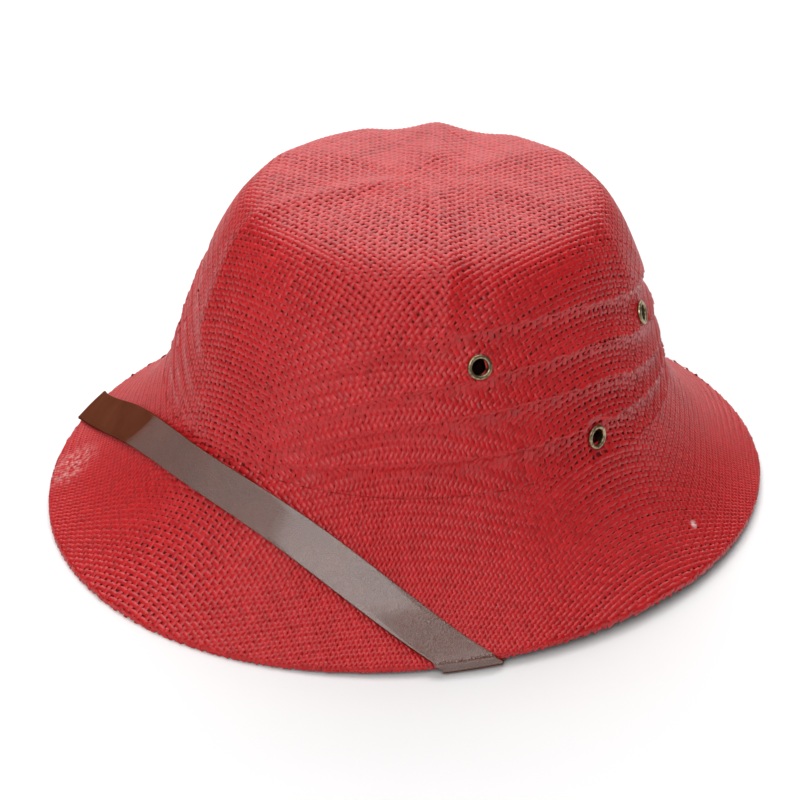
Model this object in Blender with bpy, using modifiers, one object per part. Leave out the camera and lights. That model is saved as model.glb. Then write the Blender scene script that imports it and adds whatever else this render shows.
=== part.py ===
# Ribbed woven-straw sun hat with a folded band, vent eyelets and a chin strap stowed over the brim.
# Lengths are in metres. The hat stands on its rim: +Z is up, the front faces -Y, its left side is +X.

import bpy
import bmesh
from math import atan2, cos, hypot, pi, radians, sin
from mathutils import Matrix, Vector

# Brim sizes
BRIM_LENGTH = 0.310
BRIM_WIDTH = 0.264
BRIM_WALL = 0.0016
RIM_DROP = 0.0025
RIM_SIDE_LIFT = 0.0040
REST_ARC = radians(10.0)
BRIM_SAG = 0.16

# Crown sizes
CROWN_LENGTH = 0.211
CROWN_WIDTH = 0.191
CROWN_FOOT = 0.0495
FOOT_SIDE_RISE = 0.0010
FOOT_STRIP = 0.0012
DOME_HEIGHT = 0.0850
DOME_LEAN = 0.0013
CROWN_WALL = 0.0016

# Collar of the brim, inside the foot of the crown
COLLAR_HEIGHT = 0.0055
SEAT_GAP = 0.0003

# Ribs pressed into the dome
RIB_HEIGHT = 0.0019
RIB_HALF_WIDTH = 0.0075
RIB_SHARPNESS = 1.6
RIB_CREST_SHARE = 0.25
RIB_FADE_RADIUS = 0.020
TROUGH_WIDTH_SHARE = 2.6
TROUGH_FLOOR_SHARE = 1.4
TROUGH_START_RADIUS = 0.015
TROUGH_FULL_RADIUS = 0.048
RIB_FOLD_BLEND = 0.12
PANEL_FLATTENING = 0.0004
PANEL_FULL_HEIGHT = 0.5
PANEL_FULL_RADIUS = 0.048

# Folds of the band round the foot of the dome
FOLD_DEPTH = 0.0026
FOLD_LEAN = 0.62

# Vent eyelets
EYELET_BORE_RADIUS = 0.0031
EYELET_BARREL_WALL = 0.00035
EYELET_FLANGE_RADIUS = 0.0048
EYELET_FLANGE_HEIGHT = 0.0009
EYELET_BACK_RADIUS = 0.0043
EYELET_BACK_HEIGHT = 0.0005
EYELET_GAP = 0.0003
EYELET_SEAT_DEPTH = 0.0017
EYELET_CUTTER_REACH = 0.0048
EYELET_PAD_FADE = 0.0045

# Chin strap
STRAP_WIDTH = 0.0146
STRAP_THICKNESS = 0.0014
STRAP_GAP = 0.0003
STRAP_CROWN_GAP = 0.0008
STRAP_SPREAD = 0.4725
STRAP_BEND = 0.062
STRAP_END_MARGIN = 0.0016

# Meridian of the dome, from its foot to its top
# height share of DOME_HEIGHT, radius share of the foot
DOME_SECTIONS = (
    (0.000, 1.000),
    (0.185, 0.962),
    (0.371, 0.917),
    (0.556, 0.860),
    (0.741, 0.788),
    (0.860, 0.721),
    (0.928, 0.647),
    (0.966, 0.520),
    (0.990, 0.300),
    (1.000, 0.000),
)

# Ribs: angle from the front towards the left side in degrees, at the foot and at the top, then the
# height as a share of RIB_HEIGHT, the half width as a share of RIB_HALF_WIDTH, and the depth of the
# troughs beside it as a share of RIB_HEIGHT
RIBS = (
    (-12.0, -22.0, 0.60, 1.00, 0.10),
    (53.0, 57.0, 1.00, 1.10, 0.30),
    (118.0, 122.0, 0.30, 1.30, 0.10),
    (178.0, 176.0, 0.25, 1.30, 0.10),
    (229.0, 227.0, 1.25, 1.70, 0.95),
    (290.0, 288.0, 0.25, 1.30, 0.10),
)

# Folds, top one first: crest height as a share of DOME_HEIGHT at five angles from the front, then
# the depth of the valley under the crest as a share of FOLD_DEPTH at the same angles
FOLD_ANGLES = (0.0, 45.0, 90.0, 135.0, 180.0)
FOLDS = (
    ((0.30, 0.630, 0.690, 0.540, 0.48), (0.10, 0.60, 0.90, 1.00, 0.80)),
    ((0.13, 0.440, 0.510, 0.360, 0.31), (0.08, 0.70, 1.00, 1.00, 0.80)),
    ((0.04, 0.305, 0.352, 0.205, 0.18), (0.06, 0.75, 1.00, 1.00, 0.80)),
    ((0.02, 0.137, 0.160, 0.100, 0.09), (0.05, 0.75, 0.95, 0.80, 0.75)),
    ((0.00, 0.000, 0.000, 0.000, 0.00), (0.00, 0.00, 0.00, 0.00, 0.00)),
)

# Eyelets on one side: angle from the front in degrees, height share of DOME_HEIGHT
EYELETS = (
    ("front", 64.2, 0.548),
    ("low", 94.5, 0.093),
    ("back", 124.3, 0.454),
)

# Rounded flange of an eyelet, from its bore outwards
# share of the flange's width, share of its height
FLANGE_SECTION = (
    (0.00, 0.30),
    (0.18, 0.88),
    (0.45, 1.00),
    (0.78, 0.78),
    (1.00, 0.00),
)

# How finely the faceted surfaces are divided
PANEL_COLUMNS = 10
COLUMN_CLUSTER = 0.6
BAND_ROWS = 15
BAND_TOP = 0.72
DOME_ROWS = 7
CAP_SHARE = 0.985
BRIM_COLUMNS = 60
BRIM_ROWS = 7
RIM_TURN_STEPS = 3
EYELET_SIDES = 12
STRAP_LANES = 3
STRAP_FRONT_STATIONS = 14
STRAP_TURN_STATIONS = 9
STRAP_UNDER_STATIONS = 10
ANGLE_STEP = radians(1.0)
TRACK_STRIDE = 0.002
HEADING_POINTS = 4
SEARCH_STEPS = 30
SMALL_STEP = 0.0005
MERGE_DISTANCE = 0.00001
SMOOTH_ANGLE = radians(40.0)


def smooth_step(share):
    share = min(max(share, 0.0), 1.0)
    return share * share * (3.0 - 2.0 * share)


def table_curve(rows, position):
    """Catmull-Rom curve through evenly spaced rows, at a position counted in rows."""
    last = len(rows) - 1
    index = min(max(int(position), 0), last - 1)
    part = position - index
    before = rows[max(index - 1, 0)]
    start = rows[index]
    end = rows[index + 1]
    after = rows[min(index + 2, last)]
    values = []
    for a, b, c, d in zip(before, start, end, after):
        linear = c - a
        square = 2.0 * a - 5.0 * b + 4.0 * c - d
        cube = 3.0 * (b - c) + d - a
        values.append(0.5 * (2.0 * b + linear * part + square * part ** 2 + cube * part ** 3))
    return values


def angle_curve(values, angle):
    """Smooth value at an angle from the front, from values at FOLD_ANGLES on either side."""
    turned = abs(atan2(sin(angle), cos(angle)))
    spacing = radians(FOLD_ANGLES[1] - FOLD_ANGLES[0])
    position = turned / spacing
    mirrored = (values[1],) + tuple(values) + (values[-2],)
    rows = [(value,) for value in mirrored]
    return table_curve(rows, position + 1.0)[0]


# Brim

def rim_lift(angle):
    """Height of the rim over the floor: flat at the front and back, raised at the sides."""
    turned = abs(atan2(sin(angle), cos(angle)))
    from_rest = min(turned, pi - turned)
    share = max(from_rest - REST_ARC, 0.0) / (pi / 2.0 - REST_ARC)
    return RIM_SIDE_LIFT * (1.0 - cos(pi * share)) / 2.0


def foot_height(angle):
    return CROWN_FOOT + FOOT_SIDE_RISE * sin(angle) ** 2


def oval_point(half_width, half_length, angle, height):
    return Vector((half_width * sin(angle), -half_length * cos(angle), height))


def brim_point(angle, share):
    """Upper face of the brim, from the foot of the crown (0) to the rim (1)."""
    foot = oval_point(CROWN_WIDTH / 2.0, CROWN_LENGTH / 2.0, angle, foot_height(angle) - SEAT_GAP)
    rim = oval_point(BRIM_WIDTH / 2.0, BRIM_LENGTH / 2.0, angle, rim_lift(angle) + RIM_DROP)
    pull = Vector((foot.x - rim.x, foot.y - rim.y, rim.z - foot.z))
    middle = (foot + rim) / 2.0 + pull * BRIM_SAG
    rest = 1.0 - share
    return foot * rest ** 2 + middle * (2.0 * rest * share) + rim * share ** 2


def surface_normal(surface, angle, share, step=0.001):
    """Outward unit normal of a surface whose share rises from its lower edge."""
    across = surface(angle + step, share) - surface(angle - step, share)
    high = min(share + step, 1.0)
    low = max(share - step, 0.0)
    along = surface(angle, high) - surface(angle, low)
    return across.cross(along).normalized()


def brim_normal(angle, share):
    """Upward unit normal of the brim, whose share falls towards the rim."""
    return -surface_normal(brim_point, angle, share)


def rim_outward(angle):
    """Horizontal outward direction of the rim."""
    return Vector((BRIM_LENGTH * sin(angle), -BRIM_WIDTH * cos(angle), 0.0)).normalized()


def collar_inset():
    """How far the collar's outer face stands inside the outer foot of the crown."""
    rows = len(DOME_SECTIONS) - 1
    top_share = section_share(COLLAR_HEIGHT / DOME_HEIGHT)
    lean = CROWN_LENGTH / 2.0 * (1.0 - table_curve(DOME_SECTIONS, top_share * rows)[1])
    eyelet_depth = EYELET_SEAT_DEPTH + EYELET_GAP + EYELET_BACK_HEIGHT
    return eyelet_depth + FOLD_DEPTH + SEAT_GAP + lean


def collar_point(angle, rise):
    inset = collar_inset()
    height = foot_height(angle) - SEAT_GAP + rise
    return oval_point(CROWN_WIDTH / 2.0 - inset, CROWN_LENGTH / 2.0 - inset, angle, height)


def brim_section(angle):
    """Outer face of the brim piece at one angle, from the collar's top to the edge of the rim."""
    points = [collar_point(angle, COLLAR_HEIGHT), collar_point(angle, 0.0)]
    points += [brim_point(angle, row / BRIM_ROWS) for row in range(BRIM_ROWS + 1)]
    rim = points[-1]
    points.append(Vector((rim.x, rim.y, rim_lift(angle))))
    return points


def ring_mesh(name, columns, cap_point=None):
    """Mesh of quads between neighbouring columns of points, closed round the hat."""
    mesh_builder = bmesh.new()
    rings = [[mesh_builder.verts.new(point) for point in column] for column in columns]
    tip = mesh_builder.verts.new(cap_point) if cap_point is not None else None
    count = len(rings)
    for index in range(count):
        here = rings[index]
        there = rings[(index + 1) % count]
        for row in range(len(here) - 1):
            mesh_builder.faces.new((here[row], there[row], there[row + 1], here[row + 1]))
        if tip is not None:
            mesh_builder.faces.new((here[-1], there[-1], tip))
    mesh = bpy.data.meshes.new(name)
    mesh_builder.to_mesh(mesh)
    mesh_builder.free()
    return mesh


# Crown

def crown_base(angle, share):
    """Smooth dome without ribs or folds. The share counts along the rows of DOME_SECTIONS."""
    rows = len(DOME_SECTIONS) - 1
    height, radius = table_curve(DOME_SECTIONS, share * rows)
    level = foot_height(angle) + (CROWN_FOOT + DOME_HEIGHT - foot_height(angle)) * height
    point = oval_point(CROWN_WIDTH / 2.0 * radius, CROWN_LENGTH / 2.0 * radius, angle, level)
    point.y -= DOME_LEAN * height
    return point


def section_share(height_share):
    """Share along the meridian at which the dome reaches a height share."""
    low = 0.0
    high = 1.0
    rows = len(DOME_SECTIONS) - 1
    for _ in range(SEARCH_STEPS):
        middle = (low + high) / 2.0
        if table_curve(DOME_SECTIONS, middle * rows)[0] < height_share:
            low = middle
        else:
            high = middle
    return (low + high) / 2.0


def angle_between(first, second):
    return atan2(sin(first - second), cos(first - second))


def rib_angle(rib, height):
    foot_angle, top_angle = rib[:2]
    return radians(foot_angle + (top_angle - foot_angle) * height)


def rib_relief(angle, height, radius):
    """Raised ribs and the shallow troughs beside them, as a height over the smooth dome."""
    crest = 0.0
    trough = 0.0
    for rib in RIBS:
        height_share, width_share, trough_share = rib[2:]
        half_width = RIB_HALF_WIDTH * width_share
        distance = abs(angle_between(angle, rib_angle(rib, height))) * radius
        rounding = RIB_CREST_SHARE * half_width
        side = max(1.0 - (hypot(distance, rounding) - rounding) / half_width, 0.0)
        crest = max(crest, height_share * side ** RIB_SHARPNESS)
        slope = (TROUGH_WIDTH_SHARE - distance / half_width) / (TROUGH_WIDTH_SHARE - TROUGH_FLOOR_SHARE)
        trough = max(trough, trough_share * smooth_step(slope))
    crest *= smooth_step(radius / RIB_FADE_RADIUS)
    trough *= smooth_step((radius - TROUGH_START_RADIUS) / (TROUGH_FULL_RADIUS - TROUGH_START_RADIUS))
    fold_top = angle_curve(FOLDS[0][0], angle)
    return RIB_HEIGHT * (crest - trough) * smooth_step((height - fold_top) / RIB_FOLD_BLEND + 0.5)


def panel_relief(angle, height, radius):
    """Flattening of the dome between two ribs, as a depth."""
    marks = sorted(rib_angle(rib, height) % (2.0 * pi) for rib in RIBS)
    turned = angle % (2.0 * pi)
    after = next((mark for mark in marks if mark > turned), marks[0] + 2.0 * pi)
    before = next((mark for mark in reversed(marks) if mark <= turned), marks[-1] - 2.0 * pi)
    share = (turned - before) / (after - before)
    fade = smooth_step(height / PANEL_FULL_HEIGHT) * smooth_step(radius / PANEL_FULL_RADIUS)
    return PANEL_FLATTENING * sin(pi * share) ** 2 * fade


def fold_relief(angle, height):
    """Depth of the valley under the crest above this height."""
    crests = [angle_curve(fold[0], angle) for fold in FOLDS]
    for index in range(len(FOLDS) - 1):
        top = crests[index]
        bottom = crests[index + 1]
        if bottom <= height < top:
            share = (top - height) / (top - bottom)
            depth = FOLD_DEPTH * angle_curve(FOLDS[index][1], angle)
            return depth * sin(pi * share ** FOLD_LEAN)
    return 0.0


def plain_relief(angle, share):
    """Height over the smooth dome, ribs and folds together."""
    rows = len(DOME_SECTIONS) - 1
    height, radius_share = table_curve(DOME_SECTIONS, share * rows)
    radius = radius_share * hypot(CROWN_WIDTH / 2.0 * cos(angle), CROWN_LENGTH / 2.0 * sin(angle))
    raised = rib_relief(angle, height, radius)
    return raised - fold_relief(angle, height) - panel_relief(angle, height, radius)


def eyelet_places():
    """Angle and meridian share of every eyelet, both sides of the hat."""
    places = []
    for side_name, side in (("left", 1.0), ("right", -1.0)):
        for place_name, angle, height in EYELETS:
            name = "eyelet_" + side_name + "_" + place_name
            places.append((name, side * radians(angle), section_share(height)))
    return places


EYELET_SEATS = [
    (crown_base(angle, share), plain_relief(angle, share)) for _, angle, share in eyelet_places()
]


def crown_relief(angle, share):
    """Relief of the dome, pressed level round each eyelet."""
    relief = plain_relief(angle, share)
    here = crown_base(angle, share)
    pad = EYELET_FLANGE_RADIUS + EYELET_GAP
    for centre, level in EYELET_SEATS:
        beyond = (here - centre).length - pad
        weight = 1.0 - smooth_step(beyond / EYELET_PAD_FADE)
        relief += (level - relief) * weight
    return relief


def crown_point(angle, share):
    return crown_base(angle, share) + surface_normal(crown_base, angle, share) * crown_relief(angle, share)


def crown_angles():
    """Angles of the crown's columns, closer together at the ribs."""
    marks = [radians((rib[0] + rib[1]) / 2.0) for rib in RIBS]
    angles = []
    for index, start in enumerate(marks):
        end = marks[index + 1] if index + 1 < len(marks) else marks[0] + 2.0 * pi
        for column in range(PANEL_COLUMNS):
            share = column / PANEL_COLUMNS
            share -= COLUMN_CLUSTER * sin(2.0 * pi * share) / (2.0 * pi)
            angles.append(start + (end - start) * share)
    return angles


def crown_shares():
    """Meridian shares of the crown's rows: even heights in the folded band, then even steps."""
    shares = [section_share(BAND_TOP * row / BAND_ROWS) for row in range(1, BAND_ROWS + 1)]
    start = shares[-1]
    shares += [start + (CAP_SHARE - start) * row / DOME_ROWS for row in range(1, DOME_ROWS + 1)]
    return shares


def crown_column(angle, shares):
    foot = oval_point(CROWN_WIDTH / 2.0, CROWN_LENGTH / 2.0, angle, foot_height(angle))
    return [foot, foot + Vector((0.0, 0.0, FOOT_STRIP))] + [crown_point(angle, share) for share in shares]


# Eyelets

def lathe_object(name, profile, sides, closed):
    """Turned solid from a profile of (radius, height) points, as an object with a Screw modifier."""
    mesh = bpy.data.meshes.new(name)
    verts = [(radius, 0.0, height) for radius, height in profile]
    edges = [(index, index + 1) for index in range(len(profile) - 1)]
    if closed:
        edges.append((len(profile) - 1, 0))
    mesh.from_pydata(verts, edges, [])
    turned = bpy.data.objects.new(name, mesh)
    screw = turned.modifiers.new("turn", "SCREW")
    screw.axis = "Z"
    screw.angle = 2.0 * pi
    screw.steps = sides
    screw.render_steps = sides
    screw.use_merge_vertices = True
    screw.merge_threshold = MERGE_DISTANCE
    screw.use_smooth_shade = True
    return turned


def eyelet_profile():
    bore = EYELET_BORE_RADIUS
    barrel = bore + EYELET_BARREL_WALL
    base = EYELET_GAP
    back = -EYELET_SEAT_DEPTH - EYELET_GAP
    deep = back - EYELET_BACK_HEIGHT
    flange = [
        (bore + (EYELET_FLANGE_RADIUS - bore) * across, base + EYELET_FLANGE_HEIGHT * up)
        for across, up in FLANGE_SECTION
    ]
    return flange + [
        (barrel, base),
        (barrel, back),
        (EYELET_BACK_RADIUS, back),
        (EYELET_BACK_RADIUS, deep),
        (bore, deep),
    ]


def eyelet_cutter_profile():
    """Bore through the crown wall, with a level seat outside and inside for the flanges."""
    hole = EYELET_BORE_RADIUS + EYELET_BARREL_WALL + EYELET_GAP
    outer_seat = EYELET_FLANGE_RADIUS + EYELET_GAP
    inner_seat = EYELET_BACK_RADIUS + EYELET_GAP
    reach = EYELET_CUTTER_REACH
    back = -EYELET_SEAT_DEPTH
    return (
        (0.0, reach),
        (outer_seat, reach),
        (outer_seat, 0.0),
        (hole, 0.0),
        (hole, back),
        (inner_seat, back),
        (inner_seat, back - reach),
        (0.0, back - reach),
    )


def eyelet_matrix(angle, share):
    """Place of an eyelet: its axis is the dome's normal, its origin the pressed seat."""
    normal = surface_normal(crown_base, angle, share)
    turn = normal.to_track_quat("Z", "Y").to_matrix().to_4x4()
    return Matrix.Translation(crown_point(angle, share)) @ turn


# Chin strap

def strap_track(angle):
    """Line on which the strap may lie at one angle, and the distance along it of the rim's corner.

    It runs out over the brim from the foot of the crown, round the rim, back under the brim and
    up inside the collar, STRAP_GAP clear of the brim all the way.
    """
    outward = rim_outward(angle)
    down = Vector((0.0, 0.0, -1.0))
    points = []
    for row in range(BRIM_ROWS + 1):
        share = row / BRIM_ROWS
        normal = brim_normal(angle, share)
        points.append(brim_point(angle, share) + normal * STRAP_GAP)
    to_rim = sum((end - start).length for start, end in zip(points, points[1:]))
    corner = brim_point(angle, 1.0)
    slope_normal = brim_normal(angle, 1.0)
    for step in range(1, RIM_TURN_STEPS + 1):
        turned = slope_normal.lerp(outward, step / RIM_TURN_STEPS)
        points.append(corner + turned.normalized() * STRAP_GAP)
    edge = Vector((corner.x, corner.y, rim_lift(angle)))
    for step in range(RIM_TURN_STEPS + 1):
        turned = outward.lerp(down, step / RIM_TURN_STEPS)
        points.append(edge + turned.normalized() * STRAP_GAP)
    points.append(edge - outward * BRIM_WALL + down * STRAP_GAP)
    under = BRIM_WALL + STRAP_GAP
    for row in range(BRIM_ROWS - 1, 1, -1):
        share = row / BRIM_ROWS
        points.append(brim_point(angle, share) - brim_normal(angle, share) * under)
    inside = Vector((sin(angle), -cos(angle), 0.0)) * -under
    points.append(collar_point(angle, 0.0) + inside - Vector((0.0, 0.0, under)))
    points.append(collar_point(angle, COLLAR_HEIGHT) + inside)
    return points, to_rim


def point_on_track(points, distance):
    """Point of a polyline at a distance along it."""
    for start, end in zip(points, points[1:]):
        length = (end - start).length
        if distance <= length:
            return start.lerp(end, distance / length)
        distance -= length
    return points[-1].copy()


def strap_surface(angle, past_rim):
    """Point under the strap, given the angle and the distance past the rim's corner."""
    points, to_rim = strap_track(angle)
    return point_on_track(points, to_rim + past_rim)


def strap_girth(angle, past_rim):
    """Length along the strap's surface for one radian round the hat."""
    ahead = strap_surface(angle + ANGLE_STEP, past_rim)
    return (ahead - strap_surface(angle, past_rim)).length / ANGLE_STEP


def front_line(angle):
    """Distance past the rim at which the strap's middle line crosses this angle, or None."""
    points, to_rim = strap_track(angle)
    reach = CROWN_LENGTH / 2.0 + STRAP_CROWN_GAP + strap_front_half()
    travelled = 0.0
    for start, end in zip(points, points[1:]):
        sides = []
        for point in (start, end):
            line = reach + STRAP_SPREAD * (STRAP_BEND - hypot(point.x, STRAP_BEND))
            sides.append(-point.y - line)
        if sides[0] <= 0.0 < sides[1]:
            return travelled + (end - start).length * sides[0] / (sides[0] - sides[1]) - to_rim
        travelled += (end - start).length
        if travelled >= to_rim:
            return None
    return None


def strap_front_half():
    """Half of the strap's width as seen from above, at the front of the crown's foot."""
    slope = (brim_point(0.0, 2.0 / BRIM_ROWS) - brim_point(0.0, 0.0)).normalized()
    return STRAP_WIDTH / 2.0 * abs(slope.y)


def track_length(angle):
    points, to_rim = strap_track(angle)
    return sum((b - a).length for a, b in zip(points, points[1:])) - to_rim


def middle_line():
    """Middle line of the strap's left half as (angle, distance past the rim), front to anchor."""
    line = []
    angle = 0.0
    crossing = front_line(angle)
    while crossing is not None:
        line.append((angle, crossing))
        angle += ANGLE_STEP
        crossing = front_line(angle)
    (angle, past_rim), (earlier, lower) = line[-1], line[-HEADING_POINTS]
    across = (angle - earlier) * strap_girth(angle, past_rim)
    heading = Vector((across, past_rim - lower)).normalized()
    while past_rim < track_length(angle):
        angle += heading.x * TRACK_STRIDE / strap_girth(angle, past_rim)
        past_rim += heading.y * TRACK_STRIDE
        line.append((angle, past_rim))
    return line


def strap_lane(line, offset):
    """Line at a constant distance beside the middle line, positive towards the rim."""
    lane = []
    for index, (angle, past_rim) in enumerate(line):
        before = line[max(index - 1, 0)]
        after = line[min(index + 1, len(line) - 1)]
        girth = strap_girth(angle, past_rim)
        run = Vector(((after[0] - before[0]) * girth, after[1] - before[1])).normalized()
        if index == 0:
            run = Vector((1.0, 0.0))
        lane.append((angle - offset * run.y / girth, past_rim + offset * run.x))
    return lane


def read_lane(lane, value, column):
    """The lane's other coordinate where the given coordinate has a value."""
    for first, second in zip(lane, lane[1:]):
        low = first[column]
        high = second[column]
        if low <= value <= high and high > low:
            share = (value - low) / (high - low)
            other = 1 - column
            return first[other] + (second[other] - first[other]) * share
    return lane[-1][1 - column]


def strap_half_points():
    """Rows of points across the strap, from the front centre to the anchored end."""
    line = middle_line()
    offsets = [STRAP_WIDTH * (lane / STRAP_LANES - 0.5) for lane in range(STRAP_LANES + 1)]
    lanes = [strap_lane(line, offset) for offset in offsets]
    outward_lanes = [lane[HEADING_POINTS:] for lane in lanes]
    rim_angles = [read_lane(lane, -SMALL_STEP, 1) for lane in outward_lanes]
    rows = []
    for station in range(STRAP_FRONT_STATIONS + 1):
        share = station / STRAP_FRONT_STATIONS
        row = []
        for lane, rim_angle in zip(lanes, rim_angles):
            angle = rim_angle * share
            row.append(strap_surface(angle, read_lane(lane, angle, 0)))
        rows.append(row)
    turn_end = 2.0 * STRAP_GAP + RIM_DROP + BRIM_WALL
    past_rims = [turn_end * step / STRAP_TURN_STATIONS for step in range(STRAP_TURN_STATIONS + 1)]
    full = track_length(line[-1][0]) - STRAP_END_MARGIN
    flat_start = past_rims[-1]
    for station in range(1, STRAP_UNDER_STATIONS + 1):
        past_rims.append(flat_start + (full - flat_start) * station / STRAP_UNDER_STATIONS)
    past_rims.insert(-1, full - COLLAR_HEIGHT)
    for past_rim in past_rims:
        rows.append([strap_surface(read_lane(lane, past_rim, 1), past_rim) for lane in outward_lanes])
    return rows


def grid_mesh(name, rows):
    mesh_builder = bmesh.new()
    grid = [[mesh_builder.verts.new(point) for point in row] for row in rows]
    for here, there in zip(grid, grid[1:]):
        for index in range(len(here) - 1):
            mesh_builder.faces.new((here[index], here[index + 1], there[index + 1], there[index]))
    mesh = bpy.data.meshes.new(name)
    mesh_builder.to_mesh(mesh)
    mesh_builder.free()
    return mesh


# Materials

def plain_material(name, colour, roughness, metallic):
    material = bpy.data.materials.new(name)
    material.use_nodes = True
    shader = material.node_tree.nodes["Principled BSDF"]
    shader.inputs["Base Color"].default_value = (*colour, 1.0)
    shader.inputs["Roughness"].default_value = roughness
    shader.inputs["Metallic"].default_value = metallic
    return material


# Assembly

def add_shell(mesh, collection, material, thickness, side):
    shell = bpy.data.objects.new(mesh.name, mesh)
    collection.objects.link(shell)
    mesh.materials.append(material)
    solidify = shell.modifiers.new("wall", "SOLIDIFY")
    solidify.thickness = thickness
    solidify.offset = side
    solidify.use_even_offset = True
    solidify.use_rim = True
    mesh.shade_smooth()
    mesh.set_sharp_from_angle(angle=SMOOTH_ANGLE)
    return shell


def build_brim(collection, material):
    step = 2.0 * pi / BRIM_COLUMNS
    columns = [brim_section((index + 0.5) * step) for index in range(BRIM_COLUMNS)]
    columns = [list(reversed(column)) for column in columns]
    return add_shell(ring_mesh("brim", columns), collection, material, BRIM_WALL, -1.0)


def build_crown(collection, material):
    shares = crown_shares()
    columns = [crown_column(angle, shares) for angle in crown_angles()]
    mesh = ring_mesh("crown", columns, crown_point(0.0, 1.0))
    return add_shell(mesh, collection, material, CROWN_WALL, -1.0)


def build_eyelets(collection, cutters, crown, material):
    for name, angle, share in eyelet_places():
        place = eyelet_matrix(angle, share)
        eyelet = lathe_object(name, eyelet_profile(), EYELET_SIDES, True)
        eyelet.data.materials.append(material)
        eyelet.matrix_world = place
        collection.objects.link(eyelet)
        cutter = lathe_object(name + "_seat", eyelet_cutter_profile(), EYELET_SIDES, False)
        cutter.matrix_world = place
        cutter.hide_render = True
        cutter.display_type = "WIRE"
        cutters.objects.link(cutter)
        cut = crown.modifiers.new(name + "_hole", "BOOLEAN")
        cut.operation = "DIFFERENCE"
        cut.solver = "EXACT"
        cut.object = cutter


def build_strap(collection, material):
    mesh = grid_mesh("chin_strap", strap_half_points())
    strap = bpy.data.objects.new("chin_strap", mesh)
    collection.objects.link(strap)
    mesh.materials.append(material)
    mirror = strap.modifiers.new("other_half", "MIRROR")
    mirror.use_axis = (True, False, False)
    mirror.merge_threshold = MERGE_DISTANCE
    solidify = strap.modifiers.new("leather", "SOLIDIFY")
    solidify.thickness = STRAP_THICKNESS
    solidify.offset = 1.0
    solidify.use_even_offset = True
    mesh.shade_smooth()
    mesh.set_sharp_from_angle(angle=SMOOTH_ANGLE)
    return strap


def main():
    for old in list(bpy.data.objects):
        bpy.data.objects.remove(old, do_unlink=True)
    hat = bpy.data.collections.new("straw_hat")
    cutters = bpy.data.collections.new("cutters")
    bpy.context.scene.collection.children.link(hat)
    bpy.context.scene.collection.children.link(cutters)
    straw = plain_material("red_straw", (0.50, 0.020, 0.030), 0.60, 0.0)
    leather = plain_material("brown_leather", (0.095, 0.045, 0.028), 0.45, 0.0)
    brass = plain_material("aged_brass", (0.36, 0.26, 0.12), 0.35, 1.0)
    build_brim(hat, straw)
    crown = build_crown(hat, straw)
    build_eyelets(hat, cutters, crown, brass)
    build_strap(hat, leather)


main()
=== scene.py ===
# Woven-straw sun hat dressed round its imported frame. Lengths are in metres; the front faces -Y.
from math import atan2, cos, hypot, pi, radians, sin

import bmesh
import bpy
import numpy as np
from mathutils import Matrix, Vector


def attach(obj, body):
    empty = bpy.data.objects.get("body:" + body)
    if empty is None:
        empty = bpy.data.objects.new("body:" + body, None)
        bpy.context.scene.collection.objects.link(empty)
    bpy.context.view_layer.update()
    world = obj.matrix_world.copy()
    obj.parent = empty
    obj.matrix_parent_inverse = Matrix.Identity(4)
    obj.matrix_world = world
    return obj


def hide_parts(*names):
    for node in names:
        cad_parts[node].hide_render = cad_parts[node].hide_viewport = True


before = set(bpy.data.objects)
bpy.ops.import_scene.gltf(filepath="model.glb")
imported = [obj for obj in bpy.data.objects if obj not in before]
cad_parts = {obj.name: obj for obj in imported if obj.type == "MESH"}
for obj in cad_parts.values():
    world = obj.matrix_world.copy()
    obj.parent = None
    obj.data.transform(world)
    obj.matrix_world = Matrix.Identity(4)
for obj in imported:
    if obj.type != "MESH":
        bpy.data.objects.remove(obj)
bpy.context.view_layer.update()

# Sizes of the solids
BRIM_LENGTH = 0.310
BRIM_WIDTH = 0.264
BRIM_WALL = 0.0016
RIM_DROP = 0.0025
RIM_SIDE_LIFT = 0.0040
REST_ARC = radians(10.0)
BRIM_SAG = 0.16
CROWN_LENGTH = 0.211
CROWN_WIDTH = 0.191
CROWN_FOOT = 0.0495
FOOT_SIDE_RISE = 0.0010
DOME_HEIGHT = 0.0850
DOME_LEAN = 0.0013
CROWN_WALL = 0.0016
COLLAR_HEIGHT = 0.0055
SEAT_GAP = 0.0003
RIB_HEIGHT = 0.0019
RIB_HALF_WIDTH = 0.0075
RIB_SHARPNESS = 1.6
RIB_CREST_SHARE = 0.25
RIB_FADE_RADIUS = 0.020
TROUGH_WIDTH_SHARE = 2.6
TROUGH_FLOOR_SHARE = 1.4
TROUGH_START_RADIUS = 0.015
TROUGH_FULL_RADIUS = 0.048
RIB_FOLD_BLEND = 0.12
PANEL_FLATTENING = 0.0004
PANEL_FULL_HEIGHT = 0.5
PANEL_FULL_RADIUS = 0.048
FOLD_DEPTH = 0.0026
FOLD_LEAN = 0.62
EYELET_BORE_RADIUS = 0.0031
EYELET_BARREL_WALL = 0.00035
EYELET_FLANGE_RADIUS = 0.0048
EYELET_FLANGE_HEIGHT = 0.0009
EYELET_BACK_RADIUS = 0.0043
EYELET_BACK_HEIGHT = 0.0005
EYELET_GAP = 0.0003
EYELET_SEAT_DEPTH = 0.0017
EYELET_PAD_FADE = 0.0045
STRAP_WIDTH = 0.0146
STRAP_THICKNESS = 0.0014
STRAP_GAP = 0.0003
STRAP_CROWN_GAP = 0.0008
STRAP_SPREAD = 0.4725
STRAP_BEND = 0.062
STRAP_END_MARGIN = 0.0016

# height share of DOME_HEIGHT, radius share of the foot
DOME_SECTIONS = np.array((
    (0.000, 1.000),
    (0.185, 0.962),
    (0.371, 0.917),
    (0.556, 0.860),
    (0.741, 0.788),
    (0.860, 0.721),
    (0.928, 0.647),
    (0.966, 0.520),
    (0.990, 0.300),
    (1.000, 0.000),
))

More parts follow.
